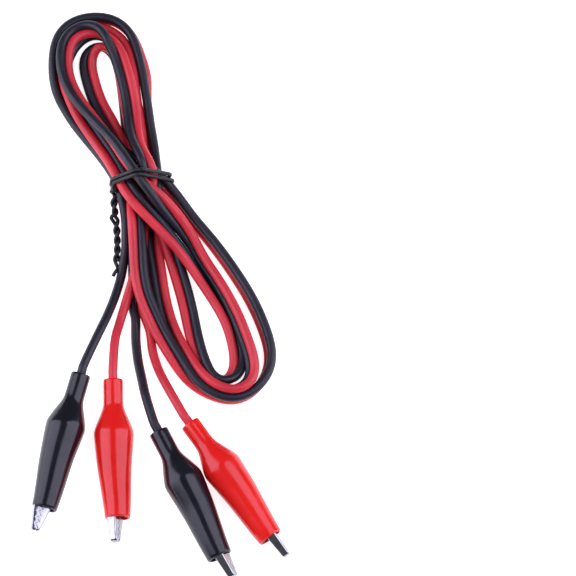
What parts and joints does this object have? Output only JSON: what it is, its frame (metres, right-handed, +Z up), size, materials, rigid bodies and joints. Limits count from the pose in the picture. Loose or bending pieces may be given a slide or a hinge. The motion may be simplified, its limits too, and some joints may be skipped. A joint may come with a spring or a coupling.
{
  "type": "alligator clip lead",
  "caption": "Twin red and black test lead folded into a tied hank, split at both ends, with an insulated sprung alligator clip on each end.",
  "frame": {"origin": "centre of the box round the clips, on the surface that the lead lies on", "axes": "+Z up from that surface, +Y from the clips towards the hank, +X to the right when the lead is seen from above with its clips nearest"},
  "size_m": [0.07, 0.1611, 0.0107],
  "materials": {
    "wire_red": "satin soft PVC",
    "wire_black": "satin soft PVC",
    "boot_red": "glossy moulded PVC",
    "boot_black": "glossy moulded PVC",
    "jaw_plating": "bright nickel plating on stamped steel",
    "rivet_steel": "plated steel",
    "spring_steel": "drawn spring wire",
    "copper": "bare stranded copper",
    "tie_coating": "plastic-coated tie wire"
  },
  "bodies": {
    "root": {"cable_hank": "wire_red", "twist_tie": "tie_coating", "end1_black_boot": "boot_black", "end1_black_fixed_jaw": "jaw_plating", "end1_black_rivet": "rivet_steel", "end1_black_spring": "spring_steel", "end1_black_core": "copper", "end1_black_wire": "wire_black", "end1_red_boot": "boot_red", "end1_red_fixed_jaw": "jaw_plating", "end1_red_rivet": "rivet_steel", "end1_red_spring": "spring_steel", "end1_red_core": "copper", "end1_red_wire": "wire_red", "end2_black_boot": "boot_black", "end2_black_fixed_jaw": "jaw_plating", "end2_black_rivet": "rivet_steel", "end2_black_spring": "spring_steel", "end2_black_core": "copper", "end2_black_wire": "wire_black", "end2_red_boot": "boot_red", "end2_red_fixed_jaw": "jaw_plating", "end2_red_rivet": "rivet_steel", "end2_red_spring": "spring_steel", "end2_red_core": "copper", "end2_red_wire": "wire_red"},
    "end1_black_jaw": {"end1_black_moving_jaw": "jaw_plating"},
    "end1_red_jaw": {"end1_red_moving_jaw": "jaw_plating"},
    "end2_black_jaw": {"end2_black_moving_jaw": "jaw_plating"},
    "end2_red_jaw": {"end2_red_moving_jaw": "jaw_plating"}
  },
  "joints": [
    {"name": "end1_black_jaw_hinge", "type": "hinge", "parent": "root", "child": "end1_black_jaw", "pos_m": [-0.03027, -0.00308, 0.00389], "axis": [-0.144, 0.1278, -0.9813], "range_deg": [0, 20], "stiffness_Nm_per_rad": 0.01, "springref_deg": -11.46, "deforming": ["end1_black_boot", "end1_black_spring"]},
    {"name": "end1_red_jaw_hinge", "type": "hinge", "parent": "root", "child": "end1_red_jaw", "pos_m": [-0.0123, -0.00584, 0.00389], "axis": [-0.8666, 0.0271, -0.4982], "range_deg": [0, 20], "stiffness_Nm_per_rad": 0.01, "springref_deg": -11.46, "deforming": ["end1_red_boot", "end1_red_spring"]},
    {"name": "end2_black_jaw_hinge", "type": "hinge", "parent": "root", "child": "end2_black_jaw", "pos_m": [0.01389, -0.01689, 0.00389], "axis": [-0.7835, -0.3504, -0.5132], "range_deg": [0, 20], "stiffness_Nm_per_rad": 0.01, "springref_deg": -11.46, "deforming": ["end2_black_boot", "end2_black_spring"]},
    {"name": "end2_red_jaw_hinge", "type": "hinge", "parent": "root", "child": "end2_red_jaw", "pos_m": [0.02656, -0.012, 0.00389], "axis": [-0.7943, -0.5501, -0.2579], "range_deg": [0, 20], "stiffness_Nm_per_rad": 0.01, "springref_deg": -11.46, "deforming": ["end2_red_boot", "end2_red_spring"]}
  ]
}
